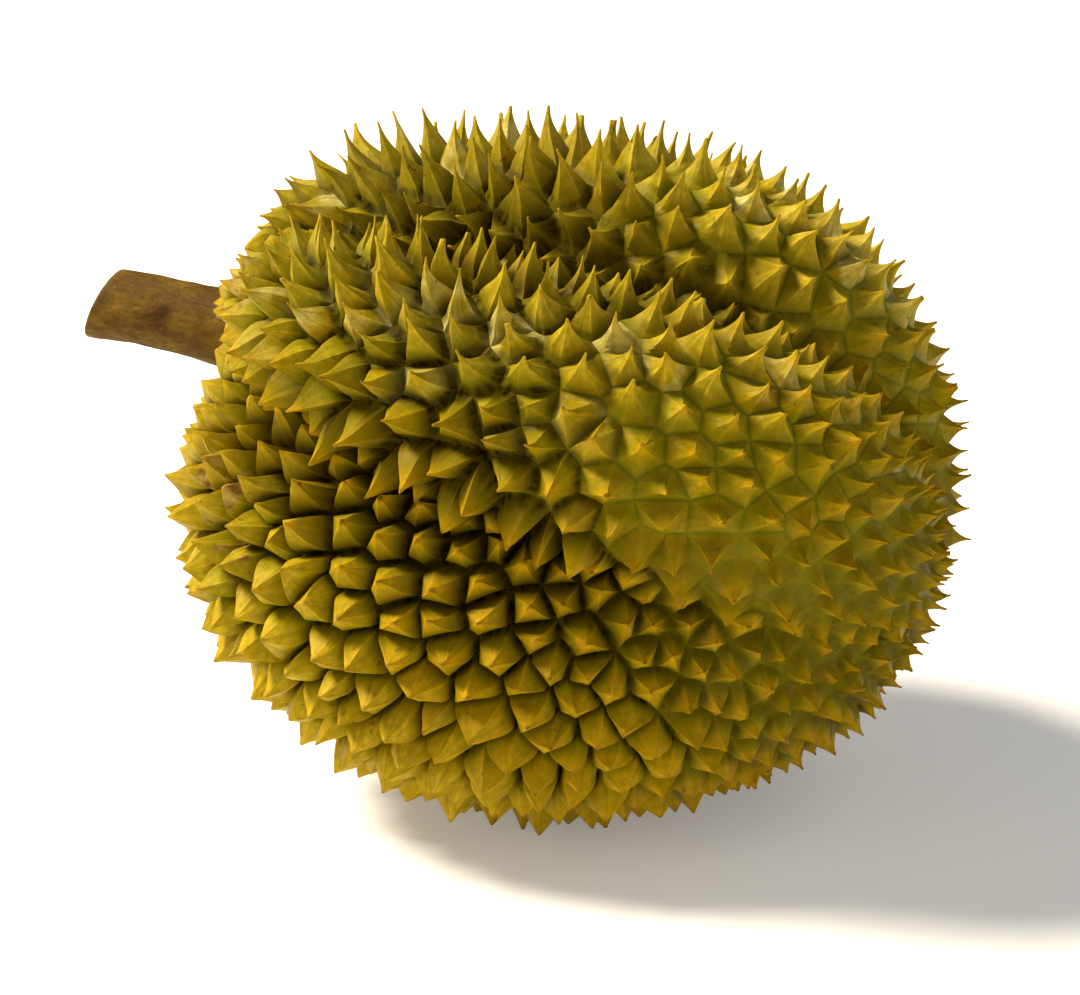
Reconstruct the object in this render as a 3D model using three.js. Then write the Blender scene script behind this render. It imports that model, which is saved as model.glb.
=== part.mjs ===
// A whole durian lying on its side, as picked: one spiny husk and the woody stalk that it hung from.
// Millimetres, +Z up. The stalk points along -X, and the fruit rests on the worn tips of its lowest thorns.
import * as THREE from "three";
import { ConvexHull } from "three/addons/math/ConvexHull.js";

// Driving dimensions. The husk's own sizes are those of the valleys between its thorns.
const huskLength = 225;
const huskWidth = 192;
const huskHeight = 201;
const squareness = 2.1; // 2 is an even oval, more fills out the shoulders
const topSquareness = 0.35; // how much squarer the top is than that, and the underside less so
const stalkEndTilt = 18; // degrees that the stalk's place on the husk lies above the long axis
const stalkEndRise = 7; // how far the fruit bends up towards its stalk end
const stalkPitch = 7; // degrees that the stalk itself rises towards its cut end

// The creases between the five lobes. Longitude is in degrees round, 0 faces -Y and 90 faces up. Depth is a share
// of the husk's radius. A skew below 1 moves the back of the next lobe towards this groove and steepens its wall.
const grooves = [
  { longitude: 10.5, bow: 2, drift: -5, depth: 0.28, skew: 0.72 },
  { longitude: 69.5, bow: 36, drift: 13, depth: 0.25, skew: 0.85 },
  { longitude: 139, bow: 12, drift: -3, depth: 0.17, skew: 1 },
  { longitude: 202, bow: -8, drift: 3, depth: 0.18, skew: 1.1 },
  { longitude: 265, bow: -10, drift: -3, depth: 0.17, skew: 1 },
];
const lobeFullness = 0.75; // the lower, the flatter the lobes' backs and the narrower the grooves
// Places where a lobe bulges, each fading over its reach.
const swellings = [
  { colatitude: 23, longitude: 98, height: 9, reach: 20 },
  { colatitude: 60, longitude: 330, height: 2.5, reach: 30 },
];
const undersideFlattening = 0.08; // share of the height that the underside is pressed in

const thornSpacing = 12.9;
const thornHeight = 13;
const thornsAtTip = 0.64; // height of the thorns at the blossom end, as a share
const thornJitter = 0.34; // share of the spacing that a thorn strays from its even place
const thornLean = 0.17; // random sideways lean of a thorn, as a share of its height
const crowdingAtStalk = 1.9; // extra thorns round the stalk, as a share
const crowdingAtTip = 0.85; // extra thorns at the blossom end
const stalkCrowdingReach = 36; // degrees from that end
const tipCrowdingReach = 55;
const shortestCrease = 3.4; // creases shorter than this close up to a point
const tipWear = 3.4; // how much of the longest resting thorn is worn flat

const seatRadius = 16.5; // flat place that the stalk grows from
const pitDepth = 9; // how far the seat lies below the shoulders round it
const pitReach = 22; // degrees from the stalk over which the pit opens out
const stalkLength = 50;
const stalkFootRadius = 12.6;
const stalkRadius = 11;
const stalkEndRadius = 11.3;
const stalkCutSlant = 17; // degrees between the cut end and a square cut
const stalkSides = 28;
const stalkRings = 14;
const stalkBow = 1.2; // how far the stalk bends off a straight line
const jointGap = 0.3;
const stalkClearance = 1.2; // between the stalk and the thorns that lean over it

const degrees = Math.PI / 180;
const goldenAngle = Math.PI * (3 - Math.sqrt(5));

// The pole is where the stalk grows. Longitude runs round it, colatitude away from it.
const pole = new THREE.Vector3(-Math.cos(stalkEndTilt * degrees), 0, Math.sin(stalkEndTilt * degrees));
const front = new THREE.Vector3(0, -1, 0);
const top = new THREE.Vector3(Math.sin(stalkEndTilt * degrees), 0, Math.cos(stalkEndTilt * degrees));
const stalkAxis = new THREE.Vector3(-Math.cos(stalkPitch * degrees), 0, Math.sin(stalkPitch * degrees));

// A repeatable number from 0 to 1 for thorn i and use k.
function chance(i, k) {
  const value = Math.sin(i * 12.9898 + k * 78.233) * 43758.5453;
  return value - Math.floor(value);
}

function smooth(low, high, value) {
  const share = Math.min(1, Math.max(0, (value - low) / (high - low)));
  return share * share * (3 - 2 * share);
}

function directionAt(colatitude, longitude) {
  const round = Math.sin(colatitude);
  return new THREE.Vector3()
    .addScaledVector(pole, Math.cos(colatitude))
    .addScaledVector(front, round * Math.cos(longitude))
    .addScaledVector(top, round * Math.sin(longitude));
}

function colatitudeOf(direction) {
  return Math.acos(Math.min(1, Math.max(-1, direction.dot(pole))));
}

function longitudeOf(direction) {
  return Math.atan2(direction.dot(top), direction.dot(front));
}

// How far round from the middle of its lobe a direction lies: share is 1 on the lobe's back and 0 at the bottom
// of a groove, and depth is that of the nearer groove, blended over the lobe's back.
function lobeAt(direction) {
  const colatitude = colatitudeOf(direction);
  const longitude = longitudeOf(direction);
  const turn = 2 * Math.PI;
  let before = -turn;
  let after = turn;
  let skew = 1;
  let depthBefore = 0;
  let depthAfter = 0;
  for (const groove of grooves) {
    const bow = groove.bow * (1 - Math.sin(colatitude));
    const drift = groove.drift * (colatitude / (Math.PI / 2) - 1);
    const start = (groove.longitude + bow + drift) * degrees;
    const ahead = (((start - longitude) % turn) + turn) % turn;
    if (ahead < after) {
      after = ahead;
      depthAfter = groove.depth;
    }
    if (ahead - turn > before) {
      before = ahead - turn;
      skew = groove.skew;
      depthBefore = groove.depth;
    }
  }
  const across = Math.pow(-before / (after - before), skew);
  const share = Math.pow(Math.max(0, Math.sin(Math.PI * across)), lobeFullness);
  return { share, depth: depthBefore + (depthAfter - depthBefore) * smooth(0.2, 0.8, across) };
}

// The husk's surface at the bottom of the valleys, in the direction given on a unit ball.
function huskPoint(direction) {
  const colatitude = colatitudeOf(direction) / degrees;
  const grooved = smooth(4, 38, colatitude) * (1 - 0.75 * smooth(105, 165, colatitude));
  const lobe = lobeAt(direction);
  const radial = 1 - lobe.depth * grooved * (1 - lobe.share);
  const round = Math.hypot(direction.y, direction.z);
  const power = squareness + topSquareness * direction.z;
  const shoulder = Math.pow(Math.pow(Math.abs(direction.x), power) + Math.pow(round, power), -1 / power);
  const point = new THREE.Vector3(
    direction.x * huskLength / 2,
    direction.y * huskWidth / 2,
    direction.z * huskHeight / 2,
  ).multiplyScalar(radial * shoulder);
  if (direction.z < 0) point.z *= 1 - undersideFlattening * smooth(0.45, 1, -direction.z);
  if (direction.x < 0) point.z += stalkEndRise * direction.x * direction.x;
  for (const swelling of swellings) {
    const middle = directionAt(swelling.colatitude * degrees, swelling.longitude * degrees);
    const away = direction.angleTo(middle) / (swelling.reach * degrees);
    point.addScaledVector(middle, swelling.height * Math.exp(-away * away));
  }
  const pit = 1 - smooth(0, pitReach, colatitude);
  return point.addScaledVector(pole, -pitDepth * pit);
}

function huskNormal(direction) {
  const across = Math.abs(direction.z) < 0.9 ? top : front;
  const side = new THREE.Vector3().crossVectors(direction, across).normalize();
  const along = new THREE.Vector3().crossVectors(direction, side);
  const step = 0.05;
  const probe = (axis, sign) => huskPoint(direction.clone().addScaledVector(axis, sign * step).normalize());
  const normal = new THREE.Vector3().crossVectors(
    probe(side, 1).sub(probe(side, -1)),
    probe(along, 1).sub(probe(along, -1)),
  );
  if (normal.dot(direction) < 0) normal.negate();
  return normal.normalize();
}

// How much closer than usual the thorns stand at this colatitude.
function crowding(colatitude) {
  const fromStalk = colatitude / (stalkCrowdingReach * degrees);
  const fromTip = (Math.PI - colatitude) / (tipCrowdingReach * degrees);
  return 1 + crowdingAtStalk * Math.exp(-fromStalk * fromStalk) + crowdingAtTip * Math.exp(-fromTip * fromTip);
}

// Evenly spread thorn places: a golden-angle spiral from the stalk to the blossom end, each strayed a little.
function thornSites() {
  const steps = 720;
  const belts = [0];
  const halfLong = huskLength / 2;
  const halfWide = (huskWidth + huskHeight) / 4;
  for (let s = 1; s <= steps; s += 1) {
    const colatitude = ((s - 0.5) / steps) * Math.PI;
    const slope = Math.hypot(halfLong * Math.sin(colatitude), halfWide * Math.cos(colatitude));
    const area = 2 * Math.PI * halfWide * Math.sin(colatitude) * slope * (Math.PI / steps);
    belts.push(belts[s - 1] + area * crowding(colatitude));
  }
  const cellArea = thornSpacing * thornSpacing * Math.sqrt(3) / 2;
  const count = Math.round(belts[steps] / cellArea);
  const sites = [pole.clone()];
  const keepOff = (seatRadius + 0.42 * thornSpacing) / halfWide;
  let s = 1;
  for (let i = 0; i < count; i += 1) {
    const wanted = ((i + 0.5) / count) * belts[steps];
    while (belts[s] < wanted) s += 1;
    const colatitude = ((s - 1 + (wanted - belts[s - 1]) / (belts[s] - belts[s - 1])) / steps) * Math.PI;
    const spacing = thornSpacing / Math.sqrt(crowding(colatitude)) / halfWide;
    const site = directionAt(colatitude, i * goldenAngle);
    const stray = thornJitter * spacing;
    const turn = 2 * Math.PI * chance(i, 1);
    const far = stray * Math.sqrt(chance(i, 2));
    const side = new THREE.Vector3().crossVectors(site, Math.abs(site.z) < 0.9 ? top : front).normalize();
    const along = new THREE.Vector3().crossVectors(site, side);
    site.addScaledVector(side, far * Math.cos(turn)).addScaledVector(along, far * Math.sin(turn)).normalize();
    if (colatitudeOf(site) > keepOff) sites.push(site);
  }
  return sites;
}

// The creases between thorns: each thorn owns the part of the ball nearest to it, a polygon.
function thornCells(sites) {
  const hull = new ConvexHull().setFromPoints(sites);
  const placeOf = new Map(sites.map((site, i) => [site, i]));
  const faces = hull.faces;
  const numberOf = new Map(faces.map((face, i) => [face, i]));
  const corner = faces.map((face) => face.normal.clone());
  const cluster = faces.map((face, i) => i);
  const size = faces.map(() => 1);
  const root = (i) => (cluster[i] === i ? i : root(cluster[i]));

  const creases = [];
  const around = sites.map(() => []);
  faces.forEach((face, i) => {
    for (let k = 0; k < 3; k += 1) {
      const edge = face.getEdge(k);
      const other = numberOf.get(edge.twin.face);
      if (i < other) creases.push([i, other, huskPoint(corner[i]).distanceTo(huskPoint(corner[other]))]);
      around[placeOf.get(edge.head().point)].push(i);
    }
  });
  creases.sort((a, b) => a[2] - b[2]);
  for (const [i, other, length] of creases) {
    const a = root(i);
    const b = root(other);
    if (length > shortestCrease || a === b || size[a] + size[b] > 3) continue;
    corner[a] = corner[a].multiplyScalar(size[a]).addScaledVector(corner[b], size[b]).normalize();
    size[a] += size[b];
    cluster[b] = a;
  }

  const cells = around.map((list, s) => {
    const site = sites[s];
    const side = new THREE.Vector3().crossVectors(site, Math.abs(site.z) < 0.9 ? top : front).normalize();
    const along = new THREE.Vector3().crossVectors(site, side);
    const turnOf = (i) => Math.atan2(faces[i].normal.dot(along), faces[i].normal.dot(side));
    const ordered = [...list].sort((a, b) => turnOf(a) - turnOf(b)).map(root);
    return ordered.filter((id, k) => id !== ordered[(k + 1) % ordered.length]);
  });
  return { cells, corner };
}

// Where a thorn's point is: out from its foot, leaning to the stalk near it, and clear of the stalk.
function thornTip(site, foot, s, reach) {
  const colatitude = colatitudeOf(site) / degrees;
  const normal = huskNormal(site);
  const towardsStalk = pole.clone().addScaledVector(site, -pole.dot(site)).normalize();
  const nearStalk = smooth(9, 20, colatitude) * (1 - smooth(20, 44, colatitude));
  const growth = (0.5 + 0.5 * smooth(12, 42, colatitude)) * (0.4 + 0.6 * smooth(0, 0.62, lobeAt(site).share));
  const lean = new THREE.Vector3(chance(s, 3) - 0.5, chance(s, 4) - 0.5, chance(s, 5) - 0.5);
  const way = normal
    .addScaledVector(towardsStalk, 0.65 * nearStalk)
    .addScaledVector(lean, 2 * thornLean)
    .normalize();
  const size = Math.pow(reach / (thornSpacing / 2), 0.7);
  const tapered = 1 - (1 - thornsAtTip) * smooth(60, 140, colatitude);
  const height = thornHeight * size * (0.85 + 0.3 * chance(s, 6)) * growth * tapered;
  const tip = foot.clone().addScaledVector(way, height);
  const fromSeat = tip.clone().sub(huskPoint(pole));
  const outwards = fromSeat.clone().addScaledVector(stalkAxis, -fromSeat.dot(stalkAxis));
  const short = stalkFootRadius + stalkClearance - outwards.length();
  if (short > 0 && fromSeat.dot(stalkAxis) > 0) tip.addScaledVector(outwards.normalize(), short);
  return tip;
}

function huskMesh() {
  const sites = thornSites();
  const { cells, corner } = thornCells(sites);
  const points = corner.map((direction) => huskPoint(direction));

  // The seat's corners are laid flat, square to the stalk.
  const seat = cells[0].reduce((sum, id) => sum.add(points[id]), new THREE.Vector3());
  seat.divideScalar(cells[0].length);
  for (const id of cells[0]) {
    const out = points[id].clone().sub(seat);
    out.addScaledVector(stalkAxis, -out.dot(stalkAxis)).setLength(seatRadius);
    points[id] = seat.clone().add(out);
  }

  const feet = cells.map((cell) =>
    cell.reduce((sum, id) => sum.add(points[id]), new THREE.Vector3()).divideScalar(cell.length));
  const tips = cells.map((cell, s) => {
    if (s === 0) return seat.clone();
    const reach = cell.reduce((sum, id) => sum + points[id].distanceTo(feet[s]), 0) / cell.length;
    return thornTip(sites[s], feet[s], s, reach);
  });
  const ground = Math.min(...tips.map((tip) => tip.z)) + tipWear;

  const position = [];
  const index = [];
  const add = (point) => position.push(point.x, point.y, point.z) / 3 - 1;
  const numberOf = new Map();
  const cornerNumber = (id) => {
    if (!numberOf.has(id)) numberOf.set(id, add(points[id]));
    return numberOf.get(id);
  };
  const flats = [];
  cells.forEach((cell, s) => {
    const tip = tips[s];
    const numbers = cell.map(cornerNumber);
    if (tip.z > ground) {
      const point = add(tip);
      numbers.forEach((a, k) => index.push(point, a, numbers[(k + 1) % numbers.length]));
      return;
    }
    // A resting thorn ends in a flat where its ridges meet the ground.
    const rim = cell.map((id) => {
      const share = (points[id].z - ground) / (points[id].z - tip.z);
      const cut = points[id].clone().lerp(tip, share);
      cut.z = ground;
      return cut;
    });
    flats.push(rim.reduce((sum, cut) => sum.add(cut), new THREE.Vector3()).divideScalar(rim.length));
    const rimNumbers = rim.map(add);
    numbers.forEach((a, k) => {
      const next = (k + 1) % numbers.length;
      index.push(rimNumbers[k], a, numbers[next], rimNumbers[k], numbers[next], rimNumbers[next]);
      if (k > 0 && next > 0) index.push(rimNumbers[0], rimNumbers[k], rimNumbers[next]);
    });
  });

  const geometry = new THREE.BufferGeometry();
  geometry.setAttribute("position", new THREE.Float32BufferAttribute(position, 3));
  geometry.setIndex(index);
  const bark = new THREE.MeshStandardMaterial({ color: 0x8f8212, roughness: 0.5, metalness: 0 });
  const mesh = new THREE.Mesh(geometry.toNonIndexed(), bark);
  mesh.name = "husk";
  return { mesh, seat, ground, flats };
}

// The stalk: a bowed round stem that flares at its foot and ends in a slanted knife cut.
function stalkMesh(seat) {
  const up = new THREE.Vector3(0, 0, 1).addScaledVector(stalkAxis, -stalkAxis.z).normalize();
  const side = new THREE.Vector3().crossVectors(stalkAxis, up);
  const position = [];
  const index = [];
  const slant = Math.tan(stalkCutSlant * degrees);
  for (let r = 0; r <= stalkRings; r += 1) {
    const share = r / stalkRings;
    const flare = (stalkFootRadius - stalkRadius) * Math.pow(1 - share, 3);
    const swell = (stalkEndRadius - stalkRadius) * smooth(0.5, 1, share);
    const radius = stalkRadius + flare + swell;
    for (let k = 0; k < stalkSides; k += 1) {
      const turn = (2 * Math.PI * k) / stalkSides;
      const out = new THREE.Vector3()
        .addScaledVector(up, Math.cos(turn) * radius + stalkBow * Math.sin(Math.PI * share))
        .addScaledVector(side, Math.sin(turn) * radius);
      const length = jointGap + share * (stalkLength - slant * radius * Math.cos(turn));
      const point = seat.clone().add(out).addScaledVector(stalkAxis, length);
      position.push(point.x, point.y, point.z);
    }
  }
  for (let r = 0; r < stalkRings; r += 1) {
    for (let k = 0; k < stalkSides; k += 1) {
      const a = r * stalkSides + k;
      const b = r * stalkSides + ((k + 1) % stalkSides);
      index.push(a, b, a + stalkSides, b, b + stalkSides, a + stalkSides);
    }
  }
  const last = stalkRings * stalkSides;
  for (let k = 1; k + 1 < stalkSides; k += 1) {
    index.push(0, k + 1, k);
    index.push(last, last + k, last + k + 1);
  }
  const geometry = new THREE.BufferGeometry();
  geometry.setAttribute("position", new THREE.Float32BufferAttribute(position, 3));
  geometry.setIndex(index);
  const wood = new THREE.MeshStandardMaterial({ color: 0x6f5626, roughness: 0.8, metalness: 0 });
  const mesh = new THREE.Mesh(geometry.toNonIndexed(), wood);
  mesh.name = "stalk";
  return mesh;
}

const husk = huskMesh();
const durian = new THREE.Group();
durian.add(husk.mesh, stalkMesh(husk.seat));

// The origin lies under the middle of the whole fruit, on the surface that it rests on.
const box = new THREE.Box3().setFromObject(durian);
const middle = box.getCenter(new THREE.Vector3());
durian.position.set(-middle.x, -middle.y, -husk.ground);

export default durian;
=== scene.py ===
import math

import bmesh
import bpy
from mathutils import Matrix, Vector, noise


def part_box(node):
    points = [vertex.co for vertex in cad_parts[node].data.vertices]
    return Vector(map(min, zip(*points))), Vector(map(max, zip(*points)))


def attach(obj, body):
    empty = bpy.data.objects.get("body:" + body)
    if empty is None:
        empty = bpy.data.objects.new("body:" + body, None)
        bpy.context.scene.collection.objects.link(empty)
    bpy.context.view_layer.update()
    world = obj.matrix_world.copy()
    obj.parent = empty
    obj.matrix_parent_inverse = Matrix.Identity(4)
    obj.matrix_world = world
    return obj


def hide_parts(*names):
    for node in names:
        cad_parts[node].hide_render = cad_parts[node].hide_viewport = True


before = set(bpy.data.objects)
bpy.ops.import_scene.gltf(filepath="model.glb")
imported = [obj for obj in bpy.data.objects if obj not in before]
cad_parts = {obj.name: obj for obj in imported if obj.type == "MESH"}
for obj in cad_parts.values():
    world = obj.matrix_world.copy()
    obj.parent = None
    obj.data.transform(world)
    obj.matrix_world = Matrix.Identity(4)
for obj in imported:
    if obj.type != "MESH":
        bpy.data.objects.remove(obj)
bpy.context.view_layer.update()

mm = 0.001


# helpers

def toLinear(hexColour):  # sRGB hex to the linear colour that Blender's sockets take
    channels = [int(hexColour[i:i + 2], 16) / 255 for i in (1, 3, 5)]
    return (*[c / 12.92 if c <= 0.04045 else ((c + 0.055) / 1.055) ** 2.4 for c in channels], 1.0)


def addNode(tree, kind, links=None, **settings):  # adds a node, sets it up, and links or sets its inputs
    node = tree.nodes.new(kind)
    for name, value in settings.items():
        setattr(node, name, value)
    for socket, value in (links or {}).items():
        if isinstance(value, bpy.types.Node):
            value = value.outputs[0]
        if isinstance(value, bpy.types.NodeSocket):
            tree.links.new(value, node.inputs[socket])
        else:
            isColour = isinstance(value, str) and value.startswith("#")
            node.inputs[socket].default_value = toLinear(value) if isColour else value
    return node


def smooth(low, high, value):
    share = min(1.0, max(0.0, (value - low) / (high - low)))
    return share * share * (3 - 2 * share)


def average(vectors):
    vectors = list(vectors)
    return sum(vectors, Vector()) / len(vectors)


def addObject(name, mesh):
    obj = bpy.data.objects.new(name, mesh)
    bpy.context.scene.collection.objects.link(obj)
    return obj


# the fruit's own directions and sizes

fruit = {
    "stalkPitch": 7.0,  # degrees that the stalk rises towards its cut end
    "stalkFoot": 12.6 * mm,  # the stalk's radius where it meets the husk
}

pitch = math.radians(fruit["stalkPitch"])
stalkAxis = Vector((-math.cos(pitch), 0, math.sin(pitch)))
huskLow, huskHigh = (Vector(corner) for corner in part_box("husk"))
huskMiddle = (huskLow + huskHigh) / 2
huskHalf = (huskHigh - huskLow) / 2
stalkLow, stalkHigh = (Vector(corner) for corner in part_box("stalk"))


def outwards(point):  # the way that the husk faces at a point near its surface
    away = point - huskMiddle
    return Vector((away.x / huskHalf.x ** 2, away.y / huskHalf.y ** 2, away.z / huskHalf.z ** 2)).normalized()


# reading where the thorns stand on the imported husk

reading = {
    "weld": 0.01 * mm,  # points this close are one
    "wornBelow": 0.02 * mm,  # a worn tip's face lies this near the table
    "seatFacing": 0.9995,  # how squarely the stalk's seat faces along the stalk, as a cosine
    "seatWithin": 20 * mm,  # how far the seat's faces can be from the stalk's foot
    "seatPoint": 2 * mm,  # a tip this near the seat's middle is the seat, not a thorn
}


def patchesOf(faces):  # groups of faces that touch along edges
    left, patches = set(faces), []
    while left:
        patch, fresh = [], [left.pop()]
        while fresh:
            face = fresh.pop()
            patch.append(face)
            for near in {f for e in face.edges for f in e.link_faces} & left:
                left.discard(near)
                fresh.append(near)
        patches.append(patch)
    return patches


def readHusk():
    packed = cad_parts["husk"]
    bm = bmesh.new()
    bm.from_mesh(packed.data)
    bm.transform(packed.matrix_world)
    bmesh.ops.remove_doubles(bm, verts=bm.verts, dist=reading["weld"])

    flats = [f for f in bm.faces if max(v.co.z for v in f.verts) < reading["wornBelow"]]
    rims = [{v for f in patch for v in f.verts} for patch in patchesOf(flats)]
    worn = {}
    for rim in rims:  # a worn tip closes up to one point, and the flat's size is kept
        middle = average(v.co for v in rim)
        worn[tuple(round(c / mm, 1) for c in middle)] = max((v.co - middle).length for v in rim)
        bmesh.ops.pointmerge(bm, verts=list(rim), merge_co=middle)

    nearFoot = Vector((stalkHigh.x, (stalkLow.y + stalkHigh.y) / 2, stalkLow.z + fruit["stalkFoot"]))
    seatFaces = [
        f for f in bm.faces
        if f.normal.dot(stalkAxis) > reading["seatFacing"]
        and (f.calc_center_median() - nearFoot).length < reading["seatWithin"]
    ]
    seatFace = bmesh.ops.dissolve_faces(bm, faces=seatFaces, use_verts=True)["region"]
    seatCentre = average(v.co for v in seatFace[0].verts)
    bmesh.ops.poke(bm, faces=seatFace)

    # every triangle has one tip and two corners, so one known tip gives all the others
    highest = max(bm.verts, key=lambda v: v.co.z)
    tipOf, fresh = {}, [(f, highest) for f in highest.link_faces]
    while fresh:
        face, tip = fresh.pop()
        if face in tipOf:
            continue
        tipOf[face] = tip
        for edge in face.edges:
            for other in edge.link_faces:
                if other not in tipOf:
                    beyond = next(v for v in other.verts if v not in edge.verts)
                    fresh.append((other, tip if tip in edge.verts else beyond))

    following = {}
    for face, tip in tipOf.items():
        verts = list(face.verts)
        k = verts.index(tip)
        following.setdefault(tip, {})[verts[(k + 1) % 3]] = verts[(k + 2) % 3]
    thorns = []
    for tip, nextCorner in following.items():
        ring = [min(nextCorner, key=lambda v: tuple(v.co))]
        while nextCorner[ring[-1]] is not ring[0]:
            ring.append(nextCorner[ring[-1]])
        thorns.append({
            "tip": tip.co.copy(),
            "corners": [v.co.copy() for v in ring],
            "names": [v.index for v in ring],
            "seat": (tip.co - seatCentre).length < reading["seatPoint"],
            "flat": worn.get(tuple(round(c / mm, 1) for c in tip.co), 0.0),
        })
    bm.free()
    thorns.sort(key=lambda thorn: tuple(thorn["tip"]))
    return thorns, seatCentre


# the husk's thorns

husk = {
    "rings": 7,  # rings of faces up a thorn
    "crowded": 1.45,  # above 1 the rings stand closer near its foot, where it curves most
    # each pair is for stout thorns, as at the stalk end, and for slender ones, as on top and at the other end
    "swell": (1.5, 0.7),  # above 1 the thorn's foot is full, below 1 it sweeps out to meet its neighbours
    "pinch": (1.2, 1.95),  # 1 is a straight-sided thorn, more draws it in to a slender point
    "hook": (0.03, 0.04),  # how far a thorn bows so that its tip turns up, as a share of its height
    "shorter": (0.07, 0.11),  # how much of its height a thorn can have lost
    "blunt": (0.035, 0.05),  # the point's width, as a share of the foot's
    # each pair is for thorns that stand apart, as at the stalk end, and for webbed ones, as at the other end
    "creaseDepth": (4.2 * mm, 0.9 * mm),
    "cornerDepth": 0.8,  # how deep a crease is where it meets others, as a share
    "apart": (0.1, 0.0),  # how much narrower than its cell a thorn can be, as a share
    "apartInValleys": (0.6, 1.4),  # how many times that it is, from the lobes' crests to the valleys
    "hollow": (0.03, 0.15),  # how far the facets sink between the ridges, as a share of the thorn's width
    "varies": {  # how many times each can be, from thorn to thorn
        "swell": (0.9, 1.1), "pinch": (0.88, 1.12), "hook": (0.4, 1.6), "shorter": (0.5, 1.5),
        "blunt": (0.7, 1.3), "apart": (0.25, 1.0), "hollow": (0.6, 1.4),
    },
    "webbedOver": (5 * mm, 90 * mm),  # where along the fruit the thorns go from apart to webbed
    "webbedTilt": 0.25,  # how much sooner they do so high up
    "slenderOver": (10 * mm, 120 * mm),  # where they go from stout to slender
    "slenderTilt": (0.3, 2.5),  # how much sooner they do so high up, below the middle and above it
    "stray": (-0.36, 0.04),  # how far one thorn differs in both from those round it
    "crossways": 0.6,  # how much a slender thorn also hooks towards the blossom end
    "sway": 0.07,  # how far a thorn bows any other way
    "raised": 3.5 * mm,  # how far the thorns' feet are filled up low on the stalk end
    "raisedHigh": (115 * mm, 80 * mm),  # it comes in between these heights
    "raisedLow": (0.0, 25 * mm),  # and goes out again between these
    "raisedLength": (30 * mm, -30 * mm),  # and comes in between these along the fruit
    "groove": (0.12, 0.27),  # how far towards the middle the grooves' sides and floors are, as a share
    "valley": (0.05, 0.15),  # the same for the wide slopes that lead into them
    "rounded": 0.08,  # how far the ridges are rounded off at the foot
    "chipped": 0.07,  # share of the thorns that have lost their very tip
    "chip": 0.12,  # how much of its height such a thorn has lost
    "chipWidth": 1.4,  # and how many times blunter its point is
    "roughen": 0.35 * mm,  # unevenness of the surface
    "roughenSize": 7 * mm,
    "seed": 3.0,
}


def chance(point, k):  # a repeatable number from 0 to 1 for a thorn, from where its tip is
    return (noise.cell(point / (3 * mm) + Vector((17.3 * k, 5.1 * k, 9.7 * k))) + 1) / 2


def between(pair, share):
    return pair[0] + (pair[1] - pair[0]) * share


def addLayers(mesh, domain, layers):  # named attributes with one value for each face or point
    for name, values in layers.items():
        kind = {Vector: "FLOAT_VECTOR", bool: "BOOLEAN"}.get(type(values[0]), "FLOAT")
        layer = mesh.attributes.new(name, kind, domain)
        if kind == "FLOAT_VECTOR":
            layer.data.foreach_set("vector", [c for v in values for c in v])
        else:
            layer.data.foreach_set("value", values)


def webbed(point):  # 0 at the stalk end, where thorns stand apart, to 1 at the blossom end
    return smooth(*husk["webbedOver"], point.x + husk["webbedTilt"] * (point.z - huskMiddle.z))


def slender(point):  # 0 for stout thorns to 1 for slender ones, which reach nearly from end to end on top
    above = point.z - huskMiddle.z
    return smooth(*husk["slenderOver"], point.x + above * husk["slenderTilt"][above > 0])


def raised(point):  # how far a thorn's foot is filled up there
    share = smooth(*husk["raisedHigh"], point.z) * smooth(*husk["raisedLow"], point.z)
    return outwards(point) * husk["raised"] * share * smooth(*husk["raisedLength"], point.x)


def thornValues(thorn):  # what the tree needs to know to grow this thorn
    tip, foot = thorn["tip"], average(c + raised(c) for c in thorn["corners"])
    way = tip - foot
    fromMiddle = foot - huskMiddle
    depth = 1 - Vector([fromMiddle[k] / huskHalf[k] for k in range(3)]).length
    stray = between(husk["stray"], chance(tip, 6))
    web, slim = (min(1.0, max(0.0, value + stray)) for value in (webbed(foot), slender(foot)))

    def varied(name, share, k):
        return between(husk[name], share) * between(husk["varies"][name], chance(tip, k))

    lift = Vector((husk["crossways"] * slim, 0, 1))
    lift -= way.normalized() * way.normalized().dot(lift)
    lift *= varied("hook", slim, 5)
    sway = Vector([chance(tip, k) - 0.5 for k in (1, 2, 3)]) * 2 * husk["sway"]
    chipped = chance(tip, 4) < husk["chipped"]
    reach = sum((c - foot).length for c in thorn["corners"]) / len(thorn["corners"])
    blunt = varied("blunt", slim, 8) + (between(husk["blunt"], slim) * husk["chipWidth"] if chipped else 0)
    lost = varied("shorter", slim, 7) + (husk["chip"] if chipped else 0)
    groove, valley = smooth(*husk["groove"], depth), smooth(*husk["valley"], depth)
    opened = varied("apart", web, 14) * between(husk["apartInValleys"], valley)
    straight = thorn["flat"] > 0  # the worn thorns that the fruit rests on stay as they are
    return {
        "tip": tip,
        "foot": foot,
        "bend": (lift + sway) * way.length,
        "swell": 1.0 if straight else varied("swell", slim, 11),
        "pinch": 1.0 if straight else varied("pinch", slim, 12),
        "hollow": varied("hollow", web, 13),
        "fill": 1 - opened,
        "worn": 0.0 if straight else lost,
        "blunt": max(blunt, thorn["flat"] / reach),
        "grows": not thorn["seat"],
        "web": web,
        "groove": groove,
        "valley": valley,
        "thornShade": chance(tip, 9),
    }


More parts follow.
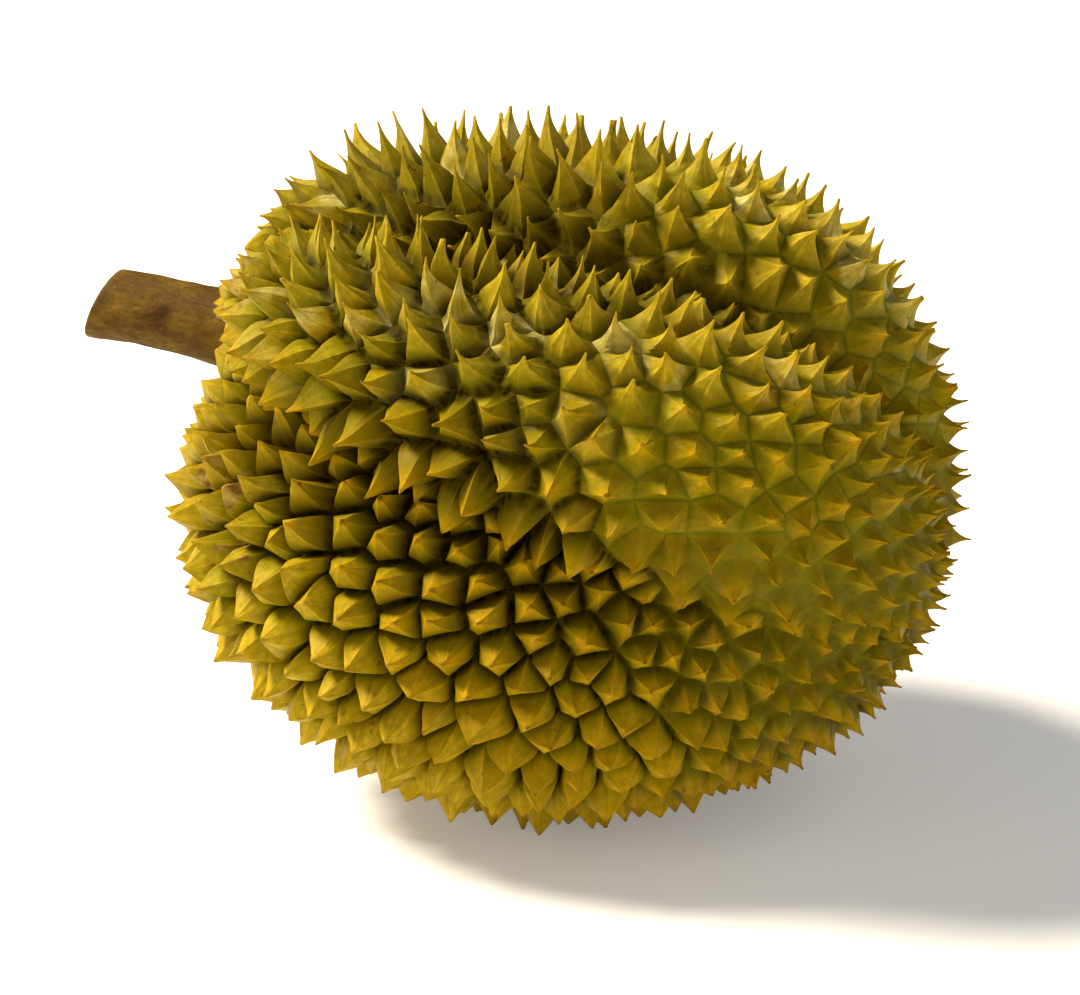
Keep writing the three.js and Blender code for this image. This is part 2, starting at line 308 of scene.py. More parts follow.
def buildCells(thorns):  # one polygon for each thorn's foot, with what the thorn needs stored on it
    points, mid, sink, numberOf, faces = [], [], [], {}, []

    def add(key, point, middle, depth):
        if key not in numberOf:
            numberOf[key] = len(points)
            points.append(point + raised(point))
            mid.append(middle)
            sink.append(outwards(point) * -depth)
        return numberOf[key]

    for thorn in thorns:
        face = []
        names, corners = thorn["names"], thorn["corners"]
        for k, (name, corner) in enumerate(zip(names, corners)):
            other, otherCorner = names[(k + 1) % len(names)], corners[(k + 1) % len(names)]
            halfway = (corner + otherCorner) / 2
            depth = 0 if thorn["seat"] else between(husk["creaseDepth"], webbed(halfway))
            face.append(add(name, corner, 0.0, depth * husk["cornerDepth"]))
            face.append(add((min(name, other), max(name, other)), halfway, 1.0, depth))
        faces.append(face)

    mesh = bpy.data.meshes.new("huskCells")
    mesh.from_pydata([tuple(p) for p in points], [], faces)
    values = [thornValues(thorn) for thorn in thorns]
    addLayers(mesh, "FACE", {name: [value[name] for value in values] for name in values[0]})
    addLayers(mesh, "POINT", {"mid": mid, "sink": sink})
    return addObject("husk_skin", mesh)


def thornTree():  # grows a curved, pinched thorn with sharp ridges and hollow facets on every cell
    tree = bpy.data.node_groups.new("growThorns", "GeometryNodeTree")
    inputs = {}
    tree.interface.new_socket("Geometry", in_out="INPUT", socket_type="NodeSocketGeometry")
    for name, kind in (("Rings", "Int"), ("Crowded", "Float"), ("Rounded", "Float"), ("Roughen", "Float"),
                       ("Roughen size", "Float"), ("Seed", "Float"), ("Skin", "Material")):
        inputs[name] = tree.interface.new_socket(name, in_out="INPUT", socket_type="NodeSocket" + kind)
    tree.interface.new_socket("Geometry", in_out="OUTPUT", socket_type="NodeSocketGeometry")
    given = addNode(tree, "NodeGroupInput").outputs
    known = {name: given[name] for name in inputs}
    for kind, names in (
        ("FLOAT", ("mid", "rise", "swell", "pinch", "hollow", "fill", "worn", "blunt", "web")),
        ("FLOAT_VECTOR", ("root", "sink", "foot", "tip", "bend")),
        ("BOOLEAN", ("grows",)),
    ):
        for name in names:
            known[name] = addNode(tree, "GeometryNodeInputNamedAttribute", {"Name": name}, data_type=kind)

    place = addNode(tree, "GeometryNodeInputPosition")
    start = addNode(tree, "GeometryNodeStoreNamedAttribute",
                    {"Geometry": given["Geometry"], "Name": "root", "Value": place}, data_type="FLOAT_VECTOR")
    start = addNode(tree, "GeometryNodeStoreNamedAttribute",
                    {"Geometry": start, "Name": "rise", "Value": 0.0})
    start = addNode(tree, "GeometryNodeSetPosition", {"Geometry": start, "Offset": known["sink"]})

    # each turn of the loop adds one ring to every thorn
    opened = addNode(tree, "GeometryNodeRepeatInput")
    closed = addNode(tree, "GeometryNodeRepeatOutput")
    opened.pair_with_output(closed)
    closed.repeat_items.new("BOOLEAN", "Top")
    for value, socket in ((given["Rings"], "Iterations"), (start.outputs[0], "Geometry"),
                          (known["grows"].outputs[0], "Top")):
        tree.links.new(value, opened.inputs[socket])
    grown = addNode(tree, "GeometryNodeExtrudeMesh",
                    {"Mesh": opened.outputs["Geometry"], "Selection": opened.outputs["Top"],
                     "Offset Scale": 0.0, "Individual": True}, mode="FACES")
    for name, operation, *terms in (
        ("ring", "ADD", opened.outputs["Iteration"], 1.0),
        ("share", "DIVIDE", "ring", "Rings"),
        ("height", "POWER", "share", "Crowded"),
        ("left", "SUBTRACT", 1.0, "height"),
        # how wide the thorn still is, as a share of its foot
        ("swept", "POWER", "height", "swell"),
        ("drawn", "SUBTRACT", 1.0, "swept"),
        ("narrowed", "POWER", "drawn", "pinch"),
        ("body", "SUBTRACT", 1.0, "blunt"),
        ("tapered", "MULTIPLY_ADD", "body", "narrowed", "blunt"),
        ("filled", "MULTIPLY", "tapered", "fill"),
        # the facets sink between the ridges
        ("facet", "MULTIPLY", "hollow", "mid"),
        ("fading", "SQRT", "left"),
        ("sunk", "MULTIPLY", "facet", "fading"),
        ("flat", "SUBTRACT", 1.0, "sunk"),
        ("hollowed", "MULTIPLY", "filled", "flat"),
        # the ridges are rounded off at the foot
        ("ridge", "SUBTRACT", 1.0, "mid"),
        ("corner", "MULTIPLY", "ridge", "Rounded"),
        ("atFoot", "POWER", "left", 5.0),
        ("eased", "MULTIPLY", "corner", "atFoot"),
        ("kept", "SUBTRACT", 1.0, "eased"),
        ("width", "MULTIPLY", "hollowed", "kept"),
        # how far along the thorn its middle is, how far that bows, and how far the crease still pulls it in
        ("whole", "SUBTRACT", 1.0, "worn"),
        ("reached", "MULTIPLY", "height", "whole"),
        ("bowed", "MULTIPLY", "height", "left"),
        ("bow", "MULTIPLY", "bowed", -3.0),
        ("pulled", "POWER", "left", 7.0),
        # used once the thorns are grown
        ("fineness", "DIVIDE", 1.0, "Roughen size"),
        ("rough", "MULTIPLY", "Roughen", 2.0),
        ("melted", "MULTIPLY", "web", 0.2),
    ):
        links = {k: known.get(term, term) for k, term in enumerate(terms)}
        known[name] = addNode(tree, "ShaderNodeMath", links, operation=operation)

    along = addNode(tree, "ShaderNodeMix", {"Factor": known["reached"], 4: known["foot"], 5: known["tip"]},
                    data_type="VECTOR").outputs[1]
    out = addNode(tree, "ShaderNodeVectorMath", {0: known["root"], 1: known["foot"]}, operation="SUBTRACT")
    for way, share in ((known["bend"], "bow"), (known["sink"], "pulled"), (out, "width")):
        way = addNode(tree, "ShaderNodeVectorMath", {0: way, "Scale": known[share]}, operation="SCALE")
        along = addNode(tree, "ShaderNodeVectorMath", {0: along, 1: way})
    moved = addNode(tree, "GeometryNodeSetPosition",
                    {"Geometry": grown.outputs["Mesh"], "Selection": grown.outputs["Top"], "Position": along})
    moved = addNode(tree, "GeometryNodeStoreNamedAttribute",
                    {"Geometry": moved, "Name": "rise", "Value": known["height"],
                     "Selection": grown.outputs["Top"]})
    tree.links.new(moved.outputs[0], closed.inputs["Geometry"])
    tree.links.new(grown.outputs["Top"], closed.inputs["Top"])

    wobble = addNode(tree, "ShaderNodeTexNoise",
                     {"Vector": place, "W": given["Seed"], "Scale": known["fineness"], "Detail": 3.0},
                     noise_dimensions="4D").outputs["Color"]
    wobble = addNode(tree, "ShaderNodeVectorMath", {0: wobble, 1: (0.5, 0.5, 0.5)}, operation="SUBTRACT")
    wobble = addNode(tree, "ShaderNodeVectorMath", {0: wobble, "Scale": known["rough"]}, operation="SCALE")
    rough = addNode(tree, "ShaderNodeVectorMath", {0: place, 1: wobble})
    # nothing goes below the table
    above = addNode(tree, "ShaderNodeVectorMath", {0: rough, 1: (-1.0, -1.0, 0.0)}, operation="MAXIMUM")
    shaped = addNode(tree, "GeometryNodeSetPosition",
                     {"Geometry": closed.outputs["Geometry"], "Position": above})

    # the ridges and creases are sharp, but webbed thorns melt together at the foot
    ridge = addNode(tree, "FunctionNodeCompare", {"A": known["mid"], "B": 0.01}, operation="LESS_THAN")
    melted = addNode(tree, "FunctionNodeCompare", {"A": known["rise"], "B": known["melted"]},
                     operation="LESS_THAN")
    crease = addNode(tree, "FunctionNodeCompare", {"A": known["rise"], "B": 0.001}, operation="LESS_THAN")
    ridge = addNode(tree, "FunctionNodeBooleanMath", {0: ridge, 1: melted}, operation="NIMPLY")
    sharp = addNode(tree, "FunctionNodeBooleanMath", {0: ridge, 1: crease}, operation="OR")
    soft = addNode(tree, "GeometryNodeSetShadeSmooth", {"Geometry": shaped, "Shade Smooth": True},
                   domain="FACE")
    soft = addNode(tree, "GeometryNodeSetShadeSmooth",
                   {"Geometry": soft, "Selection": sharp, "Shade Smooth": False}, domain="EDGE")
    real = addNode(tree, "GeometryNodeRealizeInstances", {"Geometry": soft})
    skinned = addNode(tree, "GeometryNodeSetMaterial", {"Geometry": real, "Material": given["Skin"]})
    addNode(tree, "NodeGroupOutput", {"Geometry": skinned})
    return tree, {name: socket.identifier for name, socket in inputs.items()}


def growHusk(thorns, skin):
    cells = buildCells(thorns)
    tree, identifiers = thornTree()
    modifier = cells.modifiers.new("thorns", "NODES")
    modifier.node_group = tree
    values = {
        "Rings": husk["rings"], "Crowded": husk["crowded"], "Rounded": husk["rounded"], "Skin": skin,
        "Roughen": husk["roughen"], "Roughen size": husk["roughenSize"], "Seed": husk["seed"],
    }
    for name, value in values.items():
        modifier[identifiers[name]] = value
    grown = bpy.data.meshes.new_from_object(cells.evaluated_get(bpy.context.evaluated_depsgraph_get()))
    cells.modifiers.remove(modifier)
    cells.data = grown
    for name in ("tip", "foot", "bend", "swell", "pinch", "hollow", "fill", "worn", "blunt", "grows", "sink"):
        if name in grown.attributes:
            grown.attributes.remove(grown.attributes[name])
    print("husk", len(thorns), "thorns", sum(len(p.vertices) - 2 for p in grown.polygons), "triangles")
    return cells


# the stalk

stalk = {
    "length": 50 * mm,
    "middle": 11 * mm,  # its radius past the foot
    "end": 11.3 * mm,  # and at the cut
    "bow": 1.2 * mm,
    "cutSlant": 17.0,  # degrees between the cut and a square one
    "into": 1.5 * mm,  # how far it grows into the husk
    "lumps": ((13 * mm, 0.35 * mm), (5 * mm, 0.16 * mm)),  # how wide and how high
    # how close round it, how long and how deep
    "wrinkles": ((9, 22 * mm, 0.16 * mm), (20, 15 * mm, 0.08 * mm)),
    "edge": 1.3 * mm,  # how far back the bark rounds over at the cut
    "edgeRings": 5,
    "rim": 0.93,  # how wide the cut face is inside the rounded edge, as a share
    "dish": 0.5 * mm,  # how far the cut face has dried hollow
    "rings": 110,
    "sides": 128,
    "cutRings": 16,
}


def growStalk(seatCentre, barkSkin, woodSkin):
    lift = Vector((0, 0, 1)) - stalkAxis * stalkAxis.z
    lift.normalize()
    side = stalkAxis.cross(lift)
    slant = math.tan(math.radians(stalk["cutSlant"]))
    points, grain, faces, cutFaces = [], [], [], []

    # from the share along the stalk, the share of its radius, and how far back from the cut
    def addRing(share, shrink, back):
        smoothRadius = stalk["middle"] + (fruit["stalkFoot"] - stalk["middle"]) * (1 - share) ** 3
        smoothRadius += (stalk["end"] - stalk["middle"]) * smooth(0.5, 1, share)
        bow = stalk["bow"] * math.sin(math.pi * share)
        for k in range(stalk["sides"]):
            turn = 2 * math.pi * k / stalk["sides"]
            across, over = math.sin(turn), math.cos(turn)
            length = share * (stalk["length"] - slant * smoothRadius * shrink * over) - back
            spot = Vector((across * stalk["middle"], over * stalk["middle"], length))
            radius = smoothRadius + sum(noise.noise(spot / wide) * high for wide, high in stalk["lumps"])
            for close, long, deep in stalk["wrinkles"]:
                radius += noise.noise(Vector((across * close, over * close, length / long))) * deep
            radius *= shrink
            out = lift * (over * radius + bow) + side * across * radius
            points.append(seatCentre + out + stalkAxis * length)
            grain.append(Vector((across * radius, over * radius, length)))

    def join(ring, into):
        a, b = ring * stalk["sides"], (ring + 1) * stalk["sides"]
        for k in range(stalk["sides"]):
            n = (k + 1) % stalk["sides"]
            into.append((a + k, a + n, b + n, b + k))

    start = -stalk["into"] / stalk["length"]
    straight = (1 - start) * (1 - stalk["edge"] / stalk["length"])
    for ring in range(stalk["rings"] + 1):
        addRing(start + straight * ring / stalk["rings"], 1.0, 0.0)
    for ring in range(1, stalk["edgeRings"] + 1):  # the bark rounds over onto the cut
        turn = math.pi / 2 * ring / stalk["edgeRings"]
        addRing(1.0, 1 - (1 - stalk["rim"]) * (1 - math.cos(turn)), stalk["edge"] * (1 - math.sin(turn)))
    for ring in range(1, stalk["cutRings"]):
        inwards = ring / stalk["cutRings"]
        addRing(1.0, stalk["rim"] * (1 - inwards), stalk["dish"] * smooth(0, 0.5, inwards))
    barkRings = stalk["rings"] + stalk["edgeRings"]
    for ring in range(barkRings):
        join(ring, faces)
    for ring in range(barkRings, barkRings + stalk["cutRings"] - 1):
        join(ring, cutFaces)
    last = (barkRings + stalk["cutRings"] - 1) * stalk["sides"]
    cutFaces.append(tuple(range(last, last + stalk["sides"])))
    footFace = [tuple(reversed(range(stalk["sides"])))]

    mesh = bpy.data.meshes.new("stalk_bark")
    mesh.from_pydata([tuple(p) for p in points], [], faces + cutFaces + footFace)
    mesh.materials.append(barkSkin)
    mesh.materials.append(woodSkin)
    for face in mesh.polygons[len(faces):len(faces) + len(cutFaces)]:
        face.material_index = 1
    mesh.shade_smooth()
    addLayers(mesh, "POINT", {"grain": grain})
    print("stalk", sum(len(p.vertices) - 2 for p in mesh.polygons), "triangles")
    return addObject("stalk_bark", mesh)


# materials

def newMaterial(name):
    material = bpy.data.materials.new(name)
    material.use_nodes = True
    tree = material.node_tree
    tree.nodes.clear()
    shader = addNode(tree, "ShaderNodeBsdfPrincipled")
    addNode(tree, "ShaderNodeOutputMaterial", {"Surface": shader})
    return material, tree, shader


# Lays a colour over another, as strongly as all the masks together. A mask is a number, a node, or a value
# with where it starts, where it is full and, if not 0 and 1, how strong it is there.
def paint(tree, colour, over, *masks):
    strength = None
    for mask in masks:
        if isinstance(mask, tuple):
            value, start, full, weakest, strongest = (*mask, 0.0, 1.0)[:5]
            mask = addNode(tree, "ShaderNodeMapRange", {"Value": value, "From Min": start, "From Max": full,
                                                        "To Min": weakest, "To Max": strongest},
                           interpolation_type="SMOOTHSTEP")
        if strength is not None:
            mask = addNode(tree, "ShaderNodeMath", {0: strength, 1: mask}, operation="MULTIPLY")
        strength = mask
    mixed = addNode(tree, "ShaderNodeMix", {"Factor": strength, 6: colour, 7: over}, data_type="RGBA")
    return mixed.outputs[2]


# Noise patterns on a surface, from each one's size, detail and seed, and how much longer it is along Z.
def addPatterns(tree, surface, patterns):
    made = {}
    for name, (size, detail, seed, *stretch) in patterns.items():
        long = stretch[0] if stretch else 1.0
        scale = (1 / size, 1 / size, 1 / (size * long))
        scaled = addNode(tree, "ShaderNodeVectorMath", {0: surface, 1: scale}, operation="MULTIPLY")
        made[name] = addNode(tree, "ShaderNodeTexNoise",
                             {"Vector": scaled, "W": seed, "Scale": 1.0, "Detail": detail},
                             noise_dimensions="4D")
    return made


rind = {
    "flank": "#776e04",  # low on a thorn
    "face": "#938006",  # a little further up
    "gold": "#b28806",  # up the thorn and on its ridges, where it is partly a painted highlight
    "cork": "#9f720c",  # near the tip
    "point": "#4a2c14",  # dead brown tip
    "paintedLight": "#c4aa28",  # painted light: a painted highlight on the ridges on top, and low thorns at the stalk end painted lighter
    "green": "#6b7606",
    "crease": "#5a5c04",  # the shallow creases at the blossom end
    "gapShade": "#0e0801",  # painted shade, near black, down in the deep creases at the stalk end
    "shade": "#2e1f04",  # down in the grooves and between the stout thorns
    "dullAndShade": "#5f520a",  # low on the blossom end: its own duller olive, darker towards the thorns' feet and lower down as painted shade
    "deep": "#463e06",  # painted shade at the thorns' feet there, low on the fruit
    "dim": "#6a5f05",  # fine mottling all over
    "pale": "#d8cb7c",  # waxy bloom, and a painted highlight on lit flanks high on the fruit
    "scuff": "#6b4c22",  # rubbed and dried brown
    "scar": "#a28a45",  # healed pale
    "skin": {  # patterns over the skin: size, detail and seed
        "greening": (34 * mm, 3.0, 0.0),
        "gilding": (20 * mm, 3.0, 4.0),
        "bloom": (12 * mm, 2.0, 3.0),
        "unevenness": (5 * mm, 3.0, 7.0),
        "specks": (1.3 * mm, 2.0, 9.0),
        "mottle": (2.6 * mm, 3.0, 11.0),
        "flecks": (3 * mm, 4.0, 18.0),
        "fleckedAreas": (20 * mm, 2.0, 19.0),
        "scuffEdges": (5 * mm, 5.0, 13.0),
        "scars": (3 * mm, 3.0, 15.0),
        "polish": (9 * mm, 3.0, 2.0),
        "grain": (1 * mm, 4.0, 6.0),
    },
    "fibre": {  # patterns that run as streaks from a thorn's foot to its point
        "fibres": (2.2 * mm, 4.0, 16.0),
        "stains": (1.4 * mm, 3.0, 17.0),
    },
    "scuffs": (  # x, y, z and how far each reaches
        (-0.066, -0.07, 0.102, 0.016), (-0.06, -0.08, 0.086, 0.014), (-0.077, -0.059, 0.106, 0.014),
        (-0.073, -0.039, 0.157, 0.018), (0.062, 0.078, 0.12, 0.016), (-0.03, 0.09, 0.07, 0.018),
    ),
    "fibreHeight": 0.5 * mm,
    "grainHeight": 0.22 * mm,
}


# durian rind: a dry waxy skin, olive in the creases and golden up the thorns, with corky tips; shade in the
# deep creases and grooves and highlights on top are painted into its colour
def huskSkin():
    material, tree, shader = newMaterial("durian_rind")
    place = addNode(tree, "ShaderNodeTexCoord").outputs["Object"]
    root = addNode(tree, "ShaderNodeAttribute", attribute_name="root").outputs["Vector"]
    rise, mid, shade, web, groove, valley = (
        addNode(tree, "ShaderNodeAttribute", attribute_name=name).outputs["Fac"]
        for name in ("rise", "mid", "thornShade", "web", "groove", "valley")
    )
    skin, fibre = addPatterns(tree, place, rind["skin"]), addPatterns(tree, root, rind["fibre"])
    length, _, height = addNode(tree, "ShaderNodeSeparateXYZ", {0: place}).outputs
    upLeft, downLeft = (
        addNode(tree, "ShaderNodeVectorMath", {0: place, 1: way}, operation="DOT_PRODUCT").outputs["Value"]
        for way in ((-0.8, 0.0, 0.8), (-0.8, 0.0, -0.6))
    )
    downLeft = addNode(tree, "ShaderNodeMath", {0: downLeft, 1: 100 * mm})
    stray = addNode(tree, "ShaderNodeMapRange",
                    {"Value": skin["unevenness"], "From Min": 0.3, "From Max": 0.7,
                     "To Min": -0.07, "To Max": 0.07})
    along = addNode(tree, "ShaderNodeMath", {0: rise, 1: stray})
    stout = addNode(tree, "ShaderNodeMapRange", {"Value": web, "From Min": 0.7, "From Max": 0.1},
                    interpolation_type="SMOOTHSTEP")  # 1 where the thorns stand apart
    body = (rise, 0.85, 0.6)  # all but the tip
    low = (height, 165 * mm, 120 * mm, 0.12, 1.0)  # weak on top of the fruit

    colour = rind["flank"]
    for name, *masks in (
        ("face", (along, 0.0, 0.3)),
        ("gold", (along, 0.3, 0.62)),
        ("cork", (along, 0.84, 0.95)),
        ("point", (along, 0.9, 1.0), (shade, 0.4, 0.7)),
        ("green", (skin["greening"], 0.4, 0.6, 0.35, 0.85), (upLeft, 40 * mm, 150 * mm, 0.2, 1.0), body),
        ("gold", (skin["gilding"], 0.45, 0.65, 0.1, 0.5), body),
        ("gold", (shade, 0.5, 1.0, 0.0, 0.3)),  # some thorns are riper
        ("gold", (mid, 0.2, 0.0, 0.0, 0.5), body, (stout, 0.0, 1.0, 0.6, 1.0)),  # ridges, worn golden and also lighter as a painted highlight
        # painted highlight on the ridges of the thorns high on the fruit
        ("paintedLight", (mid, 0.7, 0.0, 0.55, 0.95), (height, 135 * mm, 170 * mm),
         (length, -85 * mm, -30 * mm), (rise, 0.03, 0.35)),
        # painted light: the low thorns on the stalk-end side are made lighter
        ("paintedLight", (downLeft, 45 * mm, 85 * mm, 0.0, 0.4), (rise, 0.15, 0.5)),
        ("shade", (rise, 0.26, 0.04), stout, (height, 165 * mm, 125 * mm, 0.25, 1.0),
         (valley, 0.0, 1.0, 0.8, 0.95)),
        ("shade", (rise, 0.9, 0.15), stout, valley, low, 0.72),
        # duller olive at the blossom end, with painted shade lower down and towards the thorns' feet
        ("dullAndShade", (web, 0.4, 1.0, 0.0, 0.6), (height, 160 * mm, 100 * mm),
         (length, 110 * mm, 60 * mm, 0.1, 1.0), (rise, 1.0, 0.3)),
        # painted shade at the feet of the webbed thorns low on the fruit
        ("deep", (web, 0.2, 0.8, 0.0, 0.8), (height, 125 * mm, 85 * mm), (rise, 0.6, 0.05)),
        ("crease", (rise, 0.045, 0.0), (stout, 1.0, 0.0)),
        # painted shade in the deep creases between the stout thorns
        ("gapShade", (rise, 0.11, 0.03), stout),
        ("shade", (rise, 0.85, 0.05), groove, 0.86),
        # waxy bloom, partly a painted highlight: strongest on top, kept out of the grooves
        ("pale", (skin["bloom"], 0.4, 0.62), (height, 130 * mm, 180 * mm, 0.05, 0.95), (rise, 0.9, 0.5),
         (shade, 0.6, 0.95, 0.1, 1.0), (groove, 0.3, 0.0), (length, -95 * mm, -45 * mm, 0.25, 1.0)),
        ("flank", (fibre["fibres"], 0.42, 0.62, 0.0, 0.4)),
        ("scuff", (fibre["stains"], 0.58, 0.7, 0.0, 0.45), body),
        ("scuff", (skin["specks"], 0.6, 0.78, 0.0, 0.4)),
        ("scuff", (skin["flecks"], 0.62, 0.7), (skin["fleckedAreas"], 0.4, 0.6)),
        ("dim", (skin["mottle"], 0.35, 0.65, 0.0, 0.4)),
    ):
        colour = paint(tree, colour, rind[name], *masks)
    scuffed = paint(tree, rind["scuff"], rind["scar"], (skin["scars"], 0.4, 0.6))
    for x, y, z, reach in rind["scuffs"]:
        away = addNode(tree, "ShaderNodeVectorMath", {0: place, 1: (x, y, z)}, operation="DISTANCE")
        near = (away.outputs["Value"], reach, reach * 0.3)
        colour = paint(tree, colour, scuffed, near, (skin["scuffEdges"], 0.5, 0.62))
    tree.links.new(colour, shader.inputs["Base Color"])

    polish = addNode(tree, "ShaderNodeMapRange", {"Value": skin["polish"], "From Min": 0.3, "From Max": 0.7,
                                                  "To Min": 0.42, "To Max": 0.6})
    tree.links.new(polish.outputs[0], shader.inputs["Roughness"])
    shader.inputs["Specular IOR Level"].default_value = 0.14
    shader.inputs["Specular Tint"].default_value = toLinear("#ffd060")
    ribbed = addNode(tree, "ShaderNodeBump",
                     {"Height": fibre["fibres"], "Strength": 0.5, "Distance": rind["fibreHeight"]})
    grained = addNode(tree, "ShaderNodeBump", {"Height": skin["grain"], "Strength": 0.3,
                                               "Distance": rind["grainHeight"], "Normal": ribbed})
    tree.links.new(grained.outputs[0], shader.inputs["Normal"])
    return material


bark = {
    "brown": "#583d0c",
    "dark": "#3a2509",
    "olive": "#654d10",
    "tan": "#7a591a",
    "pore": "#856622",
    "yellowed": "#78590a",  # near the fruit
    "patterns": {  # size round the stalk, detail, seed, and how much longer along it
        "blotches": (8 * mm, 5.0, 0.0, 1.2),
        "lines": (1.2 * mm, 4.0, 2.0, 2.2),
        "pores": (1.1 * mm, 2.0, 4.0, 1.2),
        "yellowing": (6 * mm, 3.0, 6.0, 2.0),
        "wrinkles": (0.8 * mm, 4.0, 8.0, 6.0),
    },
    "wrinkleHeight": 0.3 * mm,
}


# dry brown bark, matte, with faint lengthwise lines, pale pores and darker blotches
def stalkBark():
    material, tree, shader = newMaterial("stalk_bark")
    grain = addNode(tree, "ShaderNodeAttribute", attribute_name="grain").outputs["Vector"]
    along = addNode(tree, "ShaderNodeSeparateXYZ", {0: grain}).outputs["Z"]
    pattern = addPatterns(tree, grain, bark["patterns"])
    colour = bark["dark"]
    for name, *masks in (
        ("brown", (pattern["blotches"], 0.28, 0.44)),
        ("olive", (pattern["blotches"], 0.44, 0.58)),
        ("tan", (pattern["blotches"], 0.58, 0.7)),
        ("dark", (pattern["lines"], 0.42, 0.68, 0.0, 0.5)),
        ("pore", (pattern["pores"], 0.62, 0.72, 0.0, 0.5)),
        ("yellowed", (along, 16 * mm, 2 * mm, 0.0, 0.7), (pattern["yellowing"], 0.35, 0.6)),
        ("dark", (along, 5 * mm, 0.0, 0.0, 0.75)),  # where it grows out of the husk
    ):
        colour = paint(tree, colour, bark[name], *masks)
    tree.links.new(colour, shader.inputs["Base Color"])
    shader.inputs["Roughness"].default_value = 0.72
    shader.inputs["Specular IOR Level"].default_value = 0.12
    height = addNode(tree, "ShaderNodeMath", {0: pattern["wrinkles"], 1: pattern["pores"]})
    bump = addNode(tree, "ShaderNodeBump",
                   {"Height": height, "Strength": 0.5, "Distance": bark["wrinkleHeight"]})
    tree.links.new(bump.outputs[0], shader.inputs["Normal"])
    return material


wood = {
    "pith": "#7a5d34",
    "heart": "#866a40",
    "pale": "#ae9160",
    "sap": "#a3834c",
    "stain": "#7d5e30",
    "rim": "#4f3a1c",
    "ring": "#8a6b3e",
    "dust": "#6f5430",
    "patterns": {"mottle": (1.6 * mm, 4.0, 0.0)},
    "ringSpacing": 7 * mm,
    "roughHeight": 0.4 * mm,
}


# dried wood across the grain, with faint rings, a soft dark pith and brown staining at the rim
def stalkWood():
    material, tree, shader = newMaterial("stalk_cut_wood")
    grain = addNode(tree, "ShaderNodeAttribute", attribute_name="grain").outputs["Vector"]
    flat = addNode(tree, "ShaderNodeVectorMath", {0: grain, 1: (1.0, 1.0, 0.0)}, operation="MULTIPLY")
    out = addNode(tree, "ShaderNodeVectorMath", {0: flat}, operation="LENGTH").outputs["Value"]
    mottle = addPatterns(tree, flat, wood["patterns"])["mottle"]
    rings = addNode(tree, "ShaderNodeTexWave",
                    {"Vector": flat, "Scale": 1 / wood["ringSpacing"], "Distortion": 2.5, "Detail": 2.0},
                    wave_type="RINGS", rings_direction="SPHERICAL").outputs["Fac"]
    colour = wood["pith"]
    for name, mask in (
        ("heart", (out, 0.0, 1.7 * mm)),
        ("pale", (out, 1.7 * mm, 2.4 * mm)),
        ("sap", (out, 2.4 * mm, 8.6 * mm)),
        ("stain", (out, 8.6 * mm, 9.8 * mm)),
        ("rim", (out, 9.8 * mm, 11 * mm)),
        ("ring", (rings, 0.2, 0.9, 0.0, 0.3)),
        ("dust", (mottle, 0.4, 0.7, 0.0, 0.5)),
    ):
        colour = paint(tree, colour, wood[name], mask)
    tree.links.new(colour, shader.inputs["Base Color"])
    shader.inputs["Roughness"].default_value = 0.85
    bump = addNode(tree, "ShaderNodeBump",
                   {"Height": mottle, "Strength": 0.6, "Distance": wood["roughHeight"]})
    tree.links.new(bump.outputs[0], shader.inputs["Normal"])
    return material


# the stage

stage = {
    "azimuth": 18.0,  # degrees that the camera stands round from straight in front
    "elevation": 20.0,
    "distance": 1.1,
    "lens": 122,
    "frame": (1080, 995),
    "pixel": 0.3 * mm,  # what one of the frame's pixels covers at the fruit
    "fruitPixel": (580, 447),  # where the husk's middle falls in the frame
    "lights": {  # colour, strength, degrees across, and how far right, up and near it shines from
        "sun": ("#fff4e0", 7.1, 20.0, (-0.85, 1.0, 0.12)),
        "fill": ("#ffffff", 0.75, 90.0, (1.0, 0.4, 0.5)),
        "bounce": ("#fff0c8", 1.2, 60.0, (-0.8, -0.1, 0.5)),
    },
    "skyStrength": 0.15,
    "floorSize": 12.0,
    "floorGlow": 0.2,  # a lit table, so that the shadow on it stays pale
}

azimuth, elevation = math.radians(stage["azimuth"]), math.radians(stage["elevation"])
right = Vector((math.cos(azimuth), math.sin(azimuth), 0))
back = Vector((right.y * math.cos(elevation), -right.x * math.cos(elevation), math.sin(elevation)))
up = back.cross(right)


def pointAt(obj, way):  # turns a camera or light so that it looks along the opposite of this way
    obj.rotation_euler = way.to_track_quat("Z", "Y").to_euler()


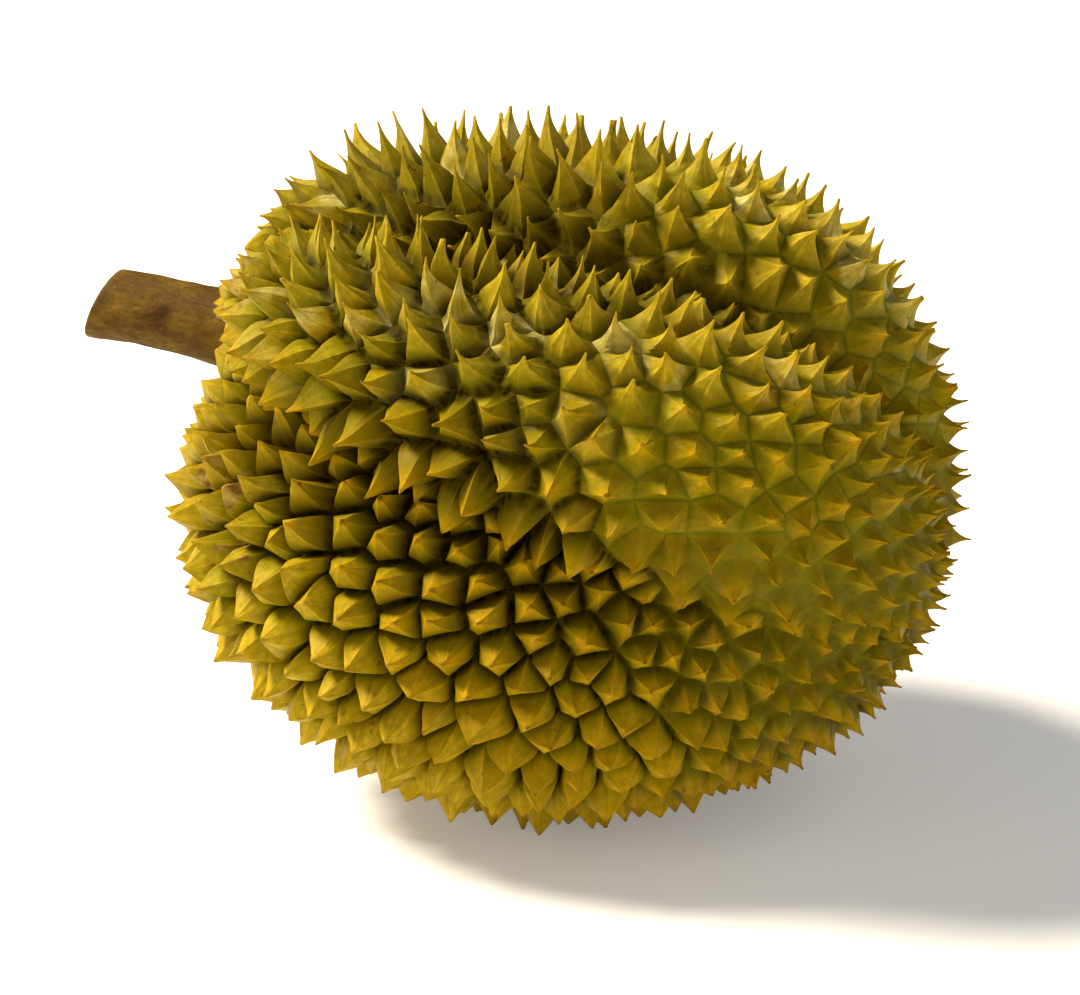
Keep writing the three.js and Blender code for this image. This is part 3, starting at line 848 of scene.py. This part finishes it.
def setCamera():
    data = bpy.data.cameras.new("camera")
    data.lens, data.sensor_width = stage["lens"], 36
    camera = addObject("camera", data)
    across, down = (
        (size / 2 - pixel) * stage["pixel"] for size, pixel in zip(stage["frame"], stage["fruitPixel"])
    )
    camera.location = huskMiddle + right * across - up * down + back * stage["distance"]
    pointAt(camera, back)
    bpy.context.scene.camera = camera


def setFloor():  # matt white board
    half = stage["floorSize"] / 2
    mesh = bpy.data.meshes.new("floor")
    corners = [(x, y, -0.2 * mm) for x, y in ((-half, -half), (half, -half), (half, half), (-half, half))]
    mesh.from_pydata(corners, [], [(0, 1, 2, 3)])
    paper, tree, shader = newMaterial("floor_board")
    for socket, value in (("Base Color", toLinear("#f4f4f2")), ("Roughness", 0.9),
                          ("Emission Color", toLinear("#ffffff")), ("Emission Strength", stage["floorGlow"])):
        shader.inputs[socket].default_value = value
    mesh.materials.append(paper)
    addObject("floor", mesh)


def setLights():
    world = bpy.data.worlds.new("studio")
    world.use_nodes = True
    background = world.node_tree.nodes["Background"]
    background.inputs["Color"].default_value = toLinear("#ffffff")
    # the backdrop itself is white
    seen = addNode(world.node_tree, "ShaderNodeLightPath").outputs["Is Camera Ray"]
    sky = addNode(world.node_tree, "ShaderNodeMapRange",
                  {"Value": seen, "To Min": stage["skyStrength"], "To Max": 1.0})
    world.node_tree.links.new(sky.outputs[0], background.inputs["Strength"])
    bpy.context.scene.world = world
    bpy.context.scene.view_settings.view_transform = "Standard"
    for name, (colour, strength, across, (toRight, upwards, near)) in stage["lights"].items():
        data = bpy.data.lights.new(name, "SUN")
        data.energy, data.angle, data.color = strength, math.radians(across), toLinear(colour)[:3]
        pointAt(addObject(name, data), right * toRight + up * upwards + back * near)


thorns, seatCentre = readHusk()
print("read", len(thorns), "thorns, seat at", seatCentre)
skin = huskSkin()
huskPiece = growHusk(thorns, skin)
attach(huskPiece, "root")
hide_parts("husk")
stalkPiece = growStalk(seatCentre, stalkBark(), stalkWood())
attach(stalkPiece, "root")
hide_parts("stalk")
setCamera()
setFloor()
setLights()
print("camera, floor and", len(stage["lights"]), "lights set")
